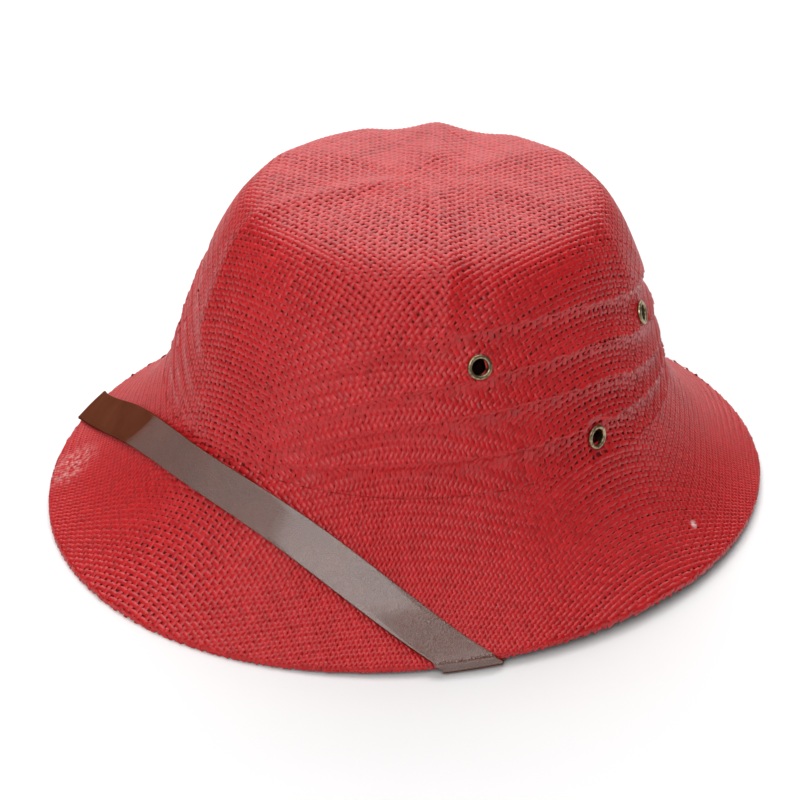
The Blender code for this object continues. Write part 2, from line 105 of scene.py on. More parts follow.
# Ribs: angle at the foot and at the top in degrees, then the shares of RIB_HEIGHT and RIB_HALF_WIDTH,
# and the depth of the troughs beside the rib as a share of RIB_HEIGHT
RIBS = (
    (-12.0, -22.0, 0.60, 1.00, 0.10),
    (53.0, 57.0, 1.00, 1.10, 0.30),
    (118.0, 122.0, 0.30, 1.30, 0.10),
    (178.0, 176.0, 0.25, 1.30, 0.10),
    (229.0, 227.0, 1.25, 1.70, 0.95),
    (290.0, 288.0, 0.25, 1.30, 0.10),
)

# Folds: crest heights at FOLD_ANGLES, then valley depths at the same angles
FOLD_ANGLES = (0.0, 45.0, 90.0, 135.0, 180.0)
FOLDS = (
    ((0.30, 0.630, 0.690, 0.540, 0.48), (0.10, 0.60, 0.90, 1.00, 0.80)),
    ((0.13, 0.440, 0.510, 0.360, 0.31), (0.08, 0.70, 1.00, 1.00, 0.80)),
    ((0.04, 0.305, 0.352, 0.205, 0.18), (0.06, 0.75, 1.00, 1.00, 0.80)),
    ((0.02, 0.137, 0.160, 0.100, 0.09), (0.05, 0.75, 0.95, 0.80, 0.75)),
    ((0.00, 0.000, 0.000, 0.000, 0.00), (0.00, 0.00, 0.00, 0.00, 0.00)),
)

# name, angle from the front in degrees, height share of DOME_HEIGHT
EYELETS = (
    ("front", 64.2, 0.548),
    ("low", 94.5, 0.093),
    ("back", 124.3, 0.454),
)

# Straw cloth
THREAD_PITCH = 0.0024
STRAW_WIDTH = 0.00190
THREAD_FILL = 0.88
THREAD_WAVE = 0.00028
THREAD_CROWNING = 0.00036
THREAD_LEVEL = -0.00050
THREAD_PROFILE = (-1.0, -0.42, 0.42, 1.0)
BACKING_LEVEL = -0.00105
CLOTH_TURN = radians(4.5)
STRETCH = 0.0055
STRETCH_START = 0.020
STRETCH_END = 0.065
SHEAR_SHARE = 0.36
SHRINK_SHARE = 0.42
HOLE_RADIUS = EYELET_BORE_RADIUS + EYELET_BARREL_WALL + EYELET_GAP
FINITE_STEP = 0.0002
FINITE_TURN = 0.002
NORMAL_STEP = 0.001
CLOTH_ROUNDS = 14
FLOOR_CLEARANCE = 0.0001

# Unevenness of the straws: shares of the pitch, of the width and of the lightness
WANDER_SPREAD = 0.05
SWAY = 0.05
SWAY_PER_SAMPLE = 0.11
WIDTH_SPREAD = 0.07
THREAD_TONE_SPREAD = 0.04
FLOAT_TONE_SPREAD = 0.08
OVER_WIDENING = 0.06
WARP_SEED = 11


# Surfaces, for arrays of angles

def smooth_step(share):
    share = np.clip(share, 0.0, 1.0)
    return share * share * (3.0 - 2.0 * share)


def table_curve(rows, position):
    """Catmull-Rom curve through evenly spaced rows, at positions counted in rows."""
    position = np.asarray(position, float)
    last = len(rows) - 1
    index = np.clip(position.astype(int), 0, last - 1)
    part = (position - index)[..., None]
    a = rows[np.maximum(index - 1, 0)]
    b = rows[index]
    c = rows[index + 1]
    d = rows[np.minimum(index + 2, last)]
    square = 2.0 * a - 5.0 * b + 4.0 * c - d
    cube = 3.0 * (b - c) + d - a
    return 0.5 * (2.0 * b + (c - a) * part + square * part ** 2 + cube * part ** 3)


def angle_curve(values, angle):
    turned = np.abs(np.arctan2(np.sin(angle), np.cos(angle)))
    rows = np.array([(value,) for value in (values[1],) + tuple(values) + (values[-2],)])
    spacing = radians(FOLD_ANGLES[1] - FOLD_ANGLES[0])
    return table_curve(rows, turned / spacing + 1.0)[..., 0]


def rim_lift(angle):
    turned = np.abs(np.arctan2(np.sin(angle), np.cos(angle)))
    from_rest = np.minimum(turned, pi - turned)
    share = np.maximum(from_rest - REST_ARC, 0.0) / (pi / 2.0 - REST_ARC)
    return RIM_SIDE_LIFT * (1.0 - np.cos(pi * share)) / 2.0


def foot_height(angle):
    return CROWN_FOOT + FOOT_SIDE_RISE * np.sin(angle) ** 2


def oval_points(half_width, half_length, angle, height):
    across = half_width * np.sin(angle)
    along = -half_length * np.cos(angle)
    return np.stack(np.broadcast_arrays(across, along, height), -1)


def brim_points(angle, share):
    """Upper face of the brim, from the foot of the crown (0) to the rim (1)."""
    foot = oval_points(CROWN_WIDTH / 2.0, CROWN_LENGTH / 2.0, angle, foot_height(angle) - SEAT_GAP)
    rim = oval_points(BRIM_WIDTH / 2.0, BRIM_LENGTH / 2.0, angle, rim_lift(angle) + RIM_DROP)
    pull = (foot - rim) * np.array((1.0, 1.0, -1.0))
    middle = (foot + rim) / 2.0 + pull * BRIM_SAG
    share = np.asarray(share, float)[..., None]
    rest = 1.0 - share
    return foot * rest ** 2 + middle * (2.0 * rest * share) + rim * share ** 2


def dome_section(share):
    """Height share and radius share, from the foot (0) to the top (1)."""
    return table_curve(DOME_SECTIONS, share * (len(DOME_SECTIONS) - 1))


def crown_base(angle, share):
    section = dome_section(share)
    height = section[..., 0]
    radius = section[..., 1]
    foot = foot_height(angle)
    level = foot + (CROWN_FOOT + DOME_HEIGHT - foot) * height
    points = oval_points(CROWN_WIDTH / 2.0 * radius, CROWN_LENGTH / 2.0 * radius, angle, level)
    points[..., 1] -= DOME_LEAN * height
    return points


SHARE_STEPS = np.linspace(0.0, 1.0, 600)
SHARE_HEIGHTS = dome_section(SHARE_STEPS)[:, 0]


def section_share(height_share):
    return float(np.interp(height_share, SHARE_HEIGHTS, SHARE_STEPS))


def unit(vectors):
    return vectors / np.maximum(np.linalg.norm(vectors, axis=-1, keepdims=True), 1e-12)


def base_normals(angle, share):
    high = np.minimum(share + NORMAL_STEP, 1.0)
    low = np.maximum(share - NORMAL_STEP, 0.0)
    across = crown_base(angle + NORMAL_STEP, share) - crown_base(angle - NORMAL_STEP, share)
    along = crown_base(angle, high) - crown_base(angle, low)
    return unit(np.cross(across, along))


def rib_relief(angle, height, radius):
    """Ribs and the shallow troughs beside them."""
    crest = np.zeros_like(radius)
    trough = np.zeros_like(radius)
    for foot_angle, top_angle, height_share, width_share, trough_share in RIBS:
        half_width = RIB_HALF_WIDTH * width_share
        mark = np.radians(foot_angle + (top_angle - foot_angle) * height)
        distance = np.abs(np.arctan2(np.sin(angle - mark), np.cos(angle - mark))) * radius
        rounding = RIB_CREST_SHARE * half_width
        side = np.maximum(1.0 - (np.hypot(distance, rounding) - rounding) / half_width, 0.0)
        crest = np.maximum(crest, height_share * side ** RIB_SHARPNESS)
        slope = (TROUGH_WIDTH_SHARE - distance / half_width) / (TROUGH_WIDTH_SHARE - TROUGH_FLOOR_SHARE)
        trough = np.maximum(trough, trough_share * smooth_step(slope))
    crest = crest * smooth_step(radius / RIB_FADE_RADIUS)
    trough_reach = TROUGH_FULL_RADIUS - TROUGH_START_RADIUS
    trough = trough * smooth_step((radius - TROUGH_START_RADIUS) / trough_reach)
    fold_top = angle_curve(FOLDS[0][0], angle)
    return RIB_HEIGHT * (crest - trough) * smooth_step((height - fold_top) / RIB_FOLD_BLEND + 0.5)


def panel_relief(angle, height, radius):
    """Slight flattening of each panel between two ribs."""
    marks = [np.radians(rib[0] + (rib[1] - rib[0]) * height) % (2.0 * pi) for rib in RIBS]
    marks = np.sort(np.stack(marks), axis=0)
    turned = angle % (2.0 * pi)
    ahead = np.where(marks > turned, marks, marks + 2.0 * pi).min(axis=0)
    behind = np.where(marks <= turned, marks, marks - 2.0 * pi).max(axis=0)
    share = (turned - behind) / (ahead - behind)
    fade = smooth_step(height / PANEL_FULL_HEIGHT) * smooth_step(radius / PANEL_FULL_RADIUS)
    return PANEL_FLATTENING * np.sin(pi * share) ** 2 * fade


def fold_relief(angle, height):
    crests = [angle_curve(fold[0], angle) for fold in FOLDS]
    relief = np.zeros_like(height)
    for index in range(len(FOLDS) - 1):
        top = crests[index]
        bottom = crests[index + 1]
        share = np.clip((top - height) / (top - bottom), 0.0, 1.0)
        depth = FOLD_DEPTH * angle_curve(FOLDS[index][1], angle)
        between = (height >= bottom) & (height < top)
        relief = np.where(between, depth * np.sin(pi * share ** FOLD_LEAN), relief)
    return relief


def plain_relief(angle, share):
    section = dome_section(share)
    height = section[..., 0]
    across = CROWN_WIDTH / 2.0 * np.cos(angle)
    along = CROWN_LENGTH / 2.0 * np.sin(angle)
    radius = section[..., 1] * np.hypot(across, along)
    raised = rib_relief(angle, height, radius)
    return raised - fold_relief(angle, height) - panel_relief(angle, height, radius)


EYELET_PLACES = [
    ("eyelet_" + side_name + "_" + place, side * radians(angle), section_share(height))
    for side_name, side in (("left", 1.0), ("right", -1.0))
    for place, angle, height in EYELETS
]
EYELET_ANGLES = np.array([angle for _, angle, _ in EYELET_PLACES])
EYELET_SHARES = np.array([share for _, _, share in EYELET_PLACES])
EYELET_CENTRES = crown_base(EYELET_ANGLES, EYELET_SHARES)
EYELET_LEVELS = plain_relief(EYELET_ANGLES, EYELET_SHARES)


def crown_points(angle, share):
    relief = plain_relief(angle, share)
    here = crown_base(angle, share)
    for centre, level in zip(EYELET_CENTRES, EYELET_LEVELS):
        beyond = np.linalg.norm(here - centre, axis=-1) - EYELET_FLANGE_RADIUS - EYELET_GAP
        relief = relief + (level - relief) * (1.0 - smooth_step(beyond / EYELET_PAD_FADE))
    return here + base_normals(angle, share) * relief[..., None]


# One meridian through crown, brim and rim, measured from the top of the dome

MERIDIAN_ANGLE = pi / 4.0


def meridian_lengths(points):
    steps = np.linalg.norm(np.diff(points, axis=0), axis=1)
    return np.concatenate(([0.0], np.cumsum(steps)))


MERIDIAN_ANGLES = np.full(len(SHARE_STEPS), MERIDIAN_ANGLE)
CROWN_RUN = meridian_lengths(crown_base(MERIDIAN_ANGLES, SHARE_STEPS[::-1]))
BRIM_RUN = meridian_lengths(brim_points(MERIDIAN_ANGLES, SHARE_STEPS))
FOOT_AT = CROWN_RUN[-1]
CORNER_AT = FOOT_AT + BRIM_RUN[-1]
EDGE_AT = CORNER_AT + RIM_DROP


def crown_surface(angle, run):
    return crown_points(angle, np.interp(run, CROWN_RUN, SHARE_STEPS[::-1]))


def brim_surface(angle, run):
    """Brim and, past its corner, the turned-down rim."""
    points = brim_points(angle, np.interp(run - FOOT_AT, BRIM_RUN, SHARE_STEPS))
    points[..., 2] -= np.maximum(run - CORNER_AT, 0.0)
    return points


def mean_radius(run):
    dome = dome_section(np.interp(run, CROWN_RUN, SHARE_STEPS[::-1]))[..., 1]
    out = np.interp(run - FOOT_AT, BRIM_RUN, SHARE_STEPS)
    flat = brim_points(np.full(np.shape(out), MERIDIAN_ANGLE), out)
    scale = 1.0 / np.hypot(CROWN_WIDTH / 2.0, CROWN_LENGTH / 2.0) * np.sqrt(2.0)
    brim = np.hypot(flat[..., 0], flat[..., 1]) * scale
    return (CROWN_WIDTH + CROWN_LENGTH) / 4.0 * np.where(run < FOOT_AT, dome, brim)


RUN_STEPS = np.linspace(0.0005, EDGE_AT, 500)
GATHER_STEPS = 1.0 - np.minimum(mean_radius(RUN_STEPS) / RUN_STEPS, 1.0)


def gather(run):
    """How much narrower the blocked cloth is than the flat cloth it was shaped from."""
    return np.interp(run, RUN_STEPS, GATHER_STEPS)


def stretch(run):
    """How far a place on the blocked dome lies beyond its place in the flat cloth."""
    return STRETCH * smooth_step((run - STRETCH_START) / (STRETCH_END - STRETCH_START))


def cloth_from_surface(angle, run):
    """Place in the flat cloth, measured from the top of the dome, for a place on the hat."""
    gathered = gather(run)
    angle = angle - CLOTH_TURN
    radius = (run - stretch(run)) * (1.0 - SHRINK_SHARE * gathered * np.sin(2.0 * angle) ** 2)
    turned = angle - SHEAR_SHARE * gathered * np.sin(4.0 * angle)
    return radius * np.cos(turned), radius * np.sin(turned)


def surface_from_cloth(u, v):
    radius = np.hypot(u, v)
    turned = np.arctan2(v, u)
    angle = turned
    run = radius
    for _ in range(CLOTH_ROUNDS):
        gathered = gather(run)
        angle = turned + SHEAR_SHARE * gathered * np.sin(4.0 * angle)
        run = stretch(run) + radius / (1.0 - SHRINK_SHARE * gathered * np.sin(2.0 * angle) ** 2)
    return angle + CLOTH_TURN, run


# Mesh helpers

def mesh_from_arrays(name, verts, quads):
    mesh = bpy.data.meshes.new(name)
    mesh.vertices.add(len(verts))
    mesh.vertices.foreach_set("co", np.ascontiguousarray(verts, np.float32).ravel())
    mesh.loops.add(quads.size)
    mesh.loops.foreach_set("vertex_index", np.ascontiguousarray(quads, np.int32).ravel())
    mesh.polygons.add(len(quads))
    mesh.polygons.foreach_set("loop_start", np.arange(0, quads.size, 4, dtype=np.int32))
    mesh.update(calc_edges=True)
    mesh.shade_smooth()
    return mesh


def set_uv(mesh, coordinates):
    corners = np.empty(len(mesh.loops), np.int32)
    mesh.loops.foreach_get("vertex_index", corners)
    layer = mesh.uv_layers.new(name="cloth")
    layer.data.foreach_set("uv", np.ascontiguousarray(coordinates[corners], np.float32).ravel())


def set_tone(mesh, tones):
    layer = mesh.attributes.new("tone", "FLOAT", "POINT")
    layer.data.foreach_set("value", np.ascontiguousarray(tones, np.float32))


def add_piece(mesh, nodes, materials):
    piece = bpy.data.objects.new(mesh.name, mesh)
    bpy.context.scene.collection.objects.link(piece)
    for material in materials:
        mesh.materials.append(material)
    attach(piece, "root")
    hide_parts(*nodes)
    return piece


def apply_modifiers(piece):
    graph = bpy.context.evaluated_depsgraph_get()
    mesh = bpy.data.meshes.new_from_object(piece.evaluated_get(graph))
    mesh.name = piece.name
    piece.modifiers.clear()
    piece.data = mesh


# Backing of the cloth: the plain shell that shows between the straws and inside the hat, its outer face
# coloured as painted shade

COLLAR_CLOTH_SHARE = 0.98
HOLE_CUTTER_SIDES = 32
HOLE_CUTTER_LENGTH = 0.012


def surface_frame(surface, angle, run, backward):
    """Points, outward normals and the change of place per unit of cloth along u and v."""
    step = -FINITE_STEP if backward else FINITE_STEP
    turn = FINITE_TURN
    here = surface(angle, run)
    by_angle = (surface(angle + turn, run) - surface(angle - turn, run)) / (2.0 * turn)
    by_run = (surface(angle, run + step) - here) / step
    normal = unit(np.cross(by_run, by_angle))
    u0, v0 = cloth_from_surface(angle, run)
    u1, v1 = cloth_from_surface(angle + turn, run)
    u2, v2 = cloth_from_surface(angle, run + step)
    ua, va = (u1 - u0) / turn, (v1 - v0) / turn
    ur, vr = (u2 - u0) / step, (v2 - v0) / step
    area = ua * vr - ur * va
    along_u = (by_angle * vr[..., None] - by_run * va[..., None]) / area[..., None]
    along_v = (by_run * ua[..., None] - by_angle * ur[..., None]) / area[..., None]
    return here, normal, along_u, along_v


def shell_mesh(name, surface, runs, columns, backward, closed_top, collar_rises=()):
    angles = (np.arange(columns) + 0.5) * 2.0 * pi / columns
    angle, run = np.meshgrid(angles, runs, indexing="ij")
    here, normal, _, _ = surface_frame(surface, angle, run, backward)
    points = here + normal * BACKING_LEVEL
    u, v = cloth_from_surface(angle, run)
    cloth = np.stack((u, v), -1) / THREAD_PITCH
    for rise in collar_rises:
        points = np.concatenate((collar_ring(angles, rise)[:, None, :], points), axis=1)
        cloth = np.concatenate((cloth[:, :1] * COLLAR_CLOTH_SHARE, cloth), axis=1)
    rows = points.shape[1]
    index = np.arange(columns * rows).reshape(columns, rows)
    ahead = np.roll(index, -1, axis=0)
    quads = np.stack((index[:, :-1], index[:, 1:], ahead[:, 1:], ahead[:, :-1]), -1).reshape(-1, 4)
    mesh = mesh_from_arrays(name, points.reshape(-1, 3), quads)
    set_uv(mesh, cloth.reshape(-1, 2))
    if closed_top:
        builder = bmesh.new()
        builder.from_mesh(mesh)
        builder.verts.ensure_lookup_table()
        ring = [builder.verts[i] for i in index[:, 0]]
        builder.faces.new(list(reversed(ring)))
        builder.to_mesh(mesh)
        builder.free()
        mesh.shade_smooth()
    return mesh


COLLAR_TOP_RADIUS = float(dome_section(section_share(COLLAR_HEIGHT / DOME_HEIGHT))[1])
COLLAR_LEAN = CROWN_LENGTH / 2.0 * (1.0 - COLLAR_TOP_RADIUS)
EYELET_BACK_REACH = EYELET_SEAT_DEPTH + EYELET_GAP + EYELET_BACK_HEIGHT
COLLAR_INSET = EYELET_BACK_REACH + FOLD_DEPTH + SEAT_GAP + COLLAR_LEAN


def collar_ring(angles, rise):
    reach = COLLAR_INSET - BACKING_LEVEL
    height = foot_height(angles) - SEAT_GAP + BACKING_LEVEL + rise
    return oval_points(CROWN_WIDTH / 2.0 - reach, CROWN_LENGTH / 2.0 - reach, angles, height)


def thicken(piece, thickness):
    solidify = piece.modifiers.new("wall", "SOLIDIFY")
    solidify.thickness = thickness
    solidify.offset = -1.0
    solidify.use_even_offset = True
    solidify.material_offset = 1
    solidify.material_offset_rim = 0


def eyelet_places():
    """Name and matrix of every eyelet, its axis along the dome's normal."""
    normals = base_normals(EYELET_ANGLES, EYELET_SHARES)
    centres = crown_points(EYELET_ANGLES, EYELET_SHARES)
    for (name, _, _), centre, normal in zip(EYELET_PLACES, centres, normals):
        turn = Vector(normal).to_track_quat("Z", "Y").to_matrix().to_4x4()
        yield name, Matrix.Translation(Vector(centre)) @ turn


def cut_eyelet_holes(piece):
    builder = bmesh.new()
    for _, place in eyelet_places():
        bmesh.ops.create_cone(
            builder, cap_ends=True, segments=HOLE_CUTTER_SIDES, radius1=HOLE_RADIUS,
            radius2=HOLE_RADIUS, depth=HOLE_CUTTER_LENGTH, matrix=place,
        )
    mesh = bpy.data.meshes.new("hole_cutters")
    builder.to_mesh(mesh)
    builder.free()
    cutter = bpy.data.objects.new("hole_cutters", mesh)
    bpy.context.scene.collection.objects.link(cutter)
    cut = piece.modifiers.new("holes", "BOOLEAN")
    cut.operation = "DIFFERENCE"
    cut.solver = "EXACT"
    cut.object = cutter
    apply_modifiers(piece)
    bpy.data.objects.remove(cutter, do_unlink=True)


# Straws of the cloth

def thread_mesh(name, family, surface, start, end, backward, seed):
    """Straws of one direction, passing over and under the straws of the other."""
    random = np.random.default_rng(seed)
    count = int(EDGE_AT / THREAD_PITCH) + 2
    threads = np.arange(-count, count)
    samples = np.arange(-2 * count, 2 * count + 1)
    centre = (threads + 0.5) * THREAD_PITCH
    wander = random.normal(0.0, WANDER_SPREAD, (len(threads), 1))
    phase = random.uniform(0.0, 2.0 * pi, (len(threads), 1))
    run_along = samples * THREAD_PITCH / 2.0
    sway = SWAY * np.sin(samples[None, :] * SWAY_PER_SAMPLE + phase)
    sideways = centre[:, None] + THREAD_PITCH * (wander + sway)
    along = np.broadcast_to(run_along[None, :], sideways.shape)
    u, v = (sideways, along) if family == 0 else (along, sideways)
    angle, run = surface_from_cloth(u, v)
    inside = (run > start) & (run < end)
    used = inside.copy()
    used[:, 1:] |= inside[:, :-1]
    used[:, :-1] |= inside[:, 1:]
    run = np.clip(run, start, end)
    rows, columns = np.nonzero(used)
    angle = angle[rows, columns]
    run = run[rows, columns]
    here, normal, along_u, along_v = surface_frame(surface, angle, run, backward)
    for eyelet_centre in EYELET_CENTRES:
        clear = np.linalg.norm(here - eyelet_centre, axis=-1) > HOLE_RADIUS
        used[rows[~clear], columns[~clear]] = False
    tangent = unit(along_v if family == 0 else along_u)
    side = along_u if family == 0 else along_v
    side = side - tangent * np.sum(side * tangent, -1, keepdims=True)
    spacing = np.linalg.norm(side, axis=-1) * THREAD_PITCH
    side = unit(side)
    thread_width = 1.0 + random.normal(0.0, WIDTH_SPREAD, len(threads))
    thread_tone = random.normal(0.0, THREAD_TONE_SPREAD, len(threads))
    float_tone = random.normal(0.0, FLOAT_TONE_SPREAD, used.shape)
    float_tone = np.repeat(float_tone[:, ::2], 2, axis=1)[:, :used.shape[1]]
    parity = 1.0 if family == 0 else -1.0
    crossing = (samples[columns] - 1) // 2 + threads[rows]
    at_crossing = samples[columns] % 2 == 1
    wave = np.where(at_crossing, np.where(crossing % 2 == 0, 1.0, -1.0) * parity, 0.0)
    width = np.minimum(spacing * THREAD_FILL, STRAW_WIDTH) * thread_width[rows]
    width = width * (1.0 + OVER_WIDENING * wave)
    tone = 0.5 + thread_tone[rows] + float_tone[rows, columns]
    level = THREAD_LEVEL + THREAD_WAVE * wave
    verts = []
    lanes = len(THREAD_PROFILE)
    for across in THREAD_PROFILE:
        lift = level + THREAD_CROWNING * (1.0 - across ** 2)
        verts.append(here + normal * lift[:, None] + side * (across * width / 2.0)[:, None])
    verts = np.stack(verts, axis=1).reshape(-1, 3)
    verts[:, 2] = np.maximum(verts[:, 2], FLOOR_CLEARANCE)
    lookup = np.full(used.shape, -1)
    lookup[rows, columns] = np.arange(len(rows))
    joined = used[:, :-1] & used[:, 1:]
    first = lookup[:, :-1][joined] * lanes
    second = lookup[:, 1:][joined] * lanes
    quads = []
    for lane in range(lanes - 1):
        corners = (first + lane, first + lane + 1, second + lane + 1, second + lane)
        quads.append(np.stack(corners if family == 0 else corners[::-1], -1))
    quads = np.concatenate(quads)
    keep, renumbered = np.unique(quads, return_inverse=True)
    mesh = mesh_from_arrays(name, verts[keep], renumbered.reshape(-1, 4))
    across = np.tile(THREAD_PROFILE, len(rows)) / 2.0
    grain = np.stack((
        np.repeat(threads[rows] * 3.0, lanes) + across, np.repeat(samples[columns] * 0.5, lanes)
    ), -1)
    set_uv(mesh, grain[keep])
    set_tone(mesh, np.repeat(tone, lanes)[keep])
    return mesh


# Eyelets

EYELET_SIDES = 40
FLANGE_STEPS = 12
FLANGE_FULLNESS = 0.75
SHARP_ANGLE = radians(50.0)


def lathe_mesh(name, profile, sides):
    turns = np.arange(sides) * 2.0 * pi / sides
    profile = np.array(profile)
    ring = np.stack((
        profile[None, :, 0] * np.cos(turns)[:, None],
        profile[None, :, 0] * np.sin(turns)[:, None],
        np.broadcast_to(profile[None, :, 1], (sides, len(profile))),
    ), -1)
    index = np.arange(sides * len(profile)).reshape(sides, -1)
    ahead = np.roll(index, -1, axis=0)
    after = np.roll(index, -1, axis=1)
    after_ahead = np.roll(ahead, -1, axis=1)
    quads = np.stack((index, ahead, after_ahead, after), -1).reshape(-1, 4)
    mesh = mesh_from_arrays(name, ring.reshape(-1, 3), quads[:, ::-1])
    mesh.set_sharp_from_angle(angle=SHARP_ANGLE)
    return mesh


def eyelet_profile():
    bore = EYELET_BORE_RADIUS
    barrel = bore + EYELET_BARREL_WALL
    ring = EYELET_FLANGE_RADIUS - bore
    back = -EYELET_SEAT_DEPTH - EYELET_GAP
    arc = []
    for step in range(FLANGE_STEPS + 1):
        turn = pi * step / FLANGE_STEPS
        across = 0.5 - 0.5 * cos(turn)
        rise = EYELET_FLANGE_HEIGHT * sin(turn) ** FLANGE_FULLNESS
        arc.append((bore + ring * across, EYELET_GAP + rise))
    return arc + [
        (barrel, EYELET_GAP),
        (barrel, back),
        (EYELET_BACK_RADIUS, back),
        (EYELET_BACK_RADIUS, back - EYELET_BACK_HEIGHT),
        (bore, back - EYELET_BACK_HEIGHT),
    ]


# Chin strap

BRIM_ROWS = 24
RIM_TURN_STEPS = 6
STRAP_LANES = 8
STRAP_FRONT_STATIONS = 60
STRAP_TURN_STATIONS = 20
STRAP_UNDER_STATIONS = 30
ANGLE_STEP = radians(1.0)
TRACK_STRIDE = 0.002
HEADING_POINTS = 4
SMALL_STEP = 0.0005
RIM_ROWS_LEFT = 2
FOOT_ROWS_LEFT = 5
FOOT_SLOPE_SHARE = 2.0 / 7.0


def brim_point(angle, share):
    return Vector(brim_points(angle, share))


def brim_normal(angle, share):
    low = max(share - NORMAL_STEP, 0.0)
    high = min(share + NORMAL_STEP, 1.0)
    across = brim_point(angle + NORMAL_STEP, share) - brim_point(angle - NORMAL_STEP, share)
    along = brim_point(angle, high) - brim_point(angle, low)
    return -across.cross(along).normalized()


def collar_point(angle, rise):
    across = (CROWN_WIDTH / 2.0 - COLLAR_INSET) * sin(angle)
    along = -(CROWN_LENGTH / 2.0 - COLLAR_INSET) * cos(angle)
    return Vector((across, along, foot_height(angle) - SEAT_GAP + rise))


def strap_track(angle):
    """Line on which the strap may lie at one angle, and the distance along it of the rim's corner."""
    outward = Vector((BRIM_LENGTH * sin(angle), -BRIM_WIDTH * cos(angle), 0.0)).normalized()
    down = Vector((0.0, 0.0, -1.0))
    points = []
    for row in range(BRIM_ROWS + 1):
        share = row / BRIM_ROWS
        points.append(brim_point(angle, share) + brim_normal(angle, share) * STRAP_GAP)
    to_rim = sum((end - start).length for start, end in zip(points, points[1:]))
    corner = brim_point(angle, 1.0)
    slope_normal = brim_normal(angle, 1.0)
    for step in range(1, RIM_TURN_STEPS + 1):
        turned = slope_normal.lerp(outward, step / RIM_TURN_STEPS)
        points.append(corner + turned.normalized() * STRAP_GAP)
    edge = Vector((corner.x, corner.y, float(rim_lift(angle))))
    for step in range(RIM_TURN_STEPS + 1):
        turned = outward.lerp(down, step / RIM_TURN_STEPS)
        points.append(edge + turned.normalized() * STRAP_GAP)
    points.append(edge - outward * BRIM_WALL + down * STRAP_GAP)
    under = BRIM_WALL + STRAP_GAP
    for row in range(BRIM_ROWS - RIM_ROWS_LEFT, FOOT_ROWS_LEFT, -1):
        share = row / BRIM_ROWS
        points.append(brim_point(angle, share) - brim_normal(angle, share) * under)
    inside = Vector((sin(angle), -cos(angle), 0.0)) * -under
    points.append(collar_point(angle, 0.0) + inside - Vector((0.0, 0.0, under)))
    points.append(collar_point(angle, COLLAR_HEIGHT) + inside)
    return points, to_rim


TRACKS = {}


def track_at(angle):
    key = round(angle, 9)
    if key not in TRACKS:
        TRACKS[key] = strap_track(angle)
    return TRACKS[key]


def strap_surface(angle, past_rim):
    points, to_rim = track_at(angle)
    distance = to_rim + past_rim
    for start, end in zip(points, points[1:]):
        length = (end - start).length
        if distance <= length:
            return start.lerp(end, distance / length)
        distance -= length
    return points[-1].copy()


def strap_girth(angle, past_rim):
    ahead = strap_surface(angle + ANGLE_STEP, past_rim)
    return (ahead - strap_surface(angle, past_rim)).length / ANGLE_STEP


def front_line(angle):
    """Distance past the rim at which the strap's middle line crosses this angle, or None."""
    points, to_rim = track_at(angle)
    slope = (brim_point(0.0, FOOT_SLOPE_SHARE) - brim_point(0.0, 0.0)).normalized()
    reach = CROWN_LENGTH / 2.0 + STRAP_CROWN_GAP + STRAP_WIDTH / 2.0 * abs(slope.y)
    travelled = 0.0
    for start, end in zip(points, points[1:]):
        sides = [
            -point.y - reach - STRAP_SPREAD * (STRAP_BEND - hypot(point.x, STRAP_BEND))
            for point in (start, end)
        ]
        if sides[0] <= 0.0 < sides[1]:
            return travelled + (end - start).length * sides[0] / (sides[0] - sides[1]) - to_rim
        travelled += (end - start).length
        if travelled >= to_rim:
            return None
    return None


def track_length(angle):
    points, to_rim = track_at(angle)
    return sum((b - a).length for a, b in zip(points, points[1:])) - to_rim


def middle_line():
    line = []
    angle = 0.0
    crossing = front_line(angle)
    while crossing is not None:
        line.append((angle, crossing))
        angle += ANGLE_STEP
        crossing = front_line(angle)
    (angle, past_rim), (earlier, lower) = line[-1], line[-HEADING_POINTS]
    across = (angle - earlier) * strap_girth(angle, past_rim)
    heading = Vector((across, past_rim - lower)).normalized()
    while past_rim < track_length(angle):
        angle += heading.x * TRACK_STRIDE / strap_girth(angle, past_rim)
        past_rim += heading.y * TRACK_STRIDE
        line.append((angle, past_rim))
    return line


def strap_lane(line, offset):
    lane = []
    for index, (angle, past_rim) in enumerate(line):
        before = line[max(index - 1, 0)]
        after = line[min(index + 1, len(line) - 1)]
        girth = strap_girth(angle, past_rim)
        run = Vector(((after[0] - before[0]) * girth, after[1] - before[1])).normalized()
        if index == 0:
            run = Vector((1.0, 0.0))
        lane.append((angle - offset * run.y / girth, past_rim + offset * run.x))
    return lane


def read_lane(lane, value, column):
    for first, second in zip(lane, lane[1:]):
        low = first[column]
        high = second[column]
        if low <= value <= high and high > low:
            share = (value - low) / (high - low)
            other = 1 - column
            return first[other] + (second[other] - first[other]) * share
    return lane[-1][1 - column]


